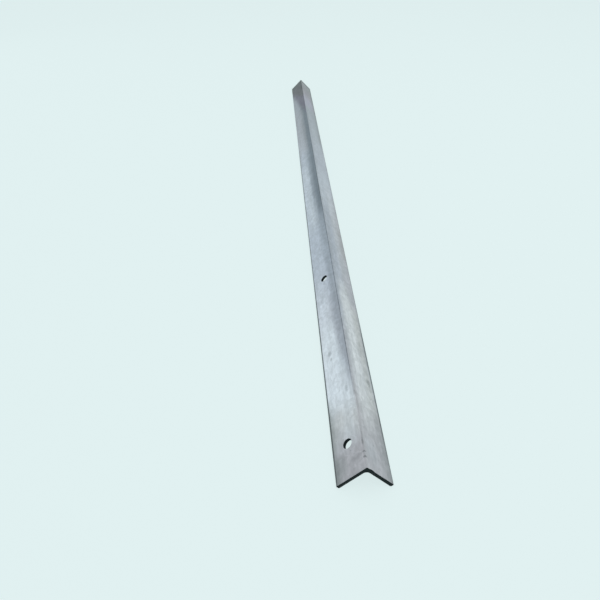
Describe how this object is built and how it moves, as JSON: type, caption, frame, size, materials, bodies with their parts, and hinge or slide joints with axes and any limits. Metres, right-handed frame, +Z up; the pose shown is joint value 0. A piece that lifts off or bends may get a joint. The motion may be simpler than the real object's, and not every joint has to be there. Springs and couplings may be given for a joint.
{
  "type": "steel angle",
  "caption": "Hot-dip galvanised equal-leg steel angle, lying heel up, with round bolt holes through one leg towards one sawn end.",
  "frame": {"origin": "on the floor, halfway along the bar and midway between its toes", "axes": "+Z up through the heel, +Y along the bar away from the drilled end, +X towards the leg without holes"},
  "size_m": [0.0708, 1.8, 0.0378],
  "materials": {
    "galvanised_steel": "hot-dip galvanised, dull zinc grey"
  },
  "bodies": {
    "root": {"steel_angle": "galvanised_steel"}
  },
  "joints": []
}
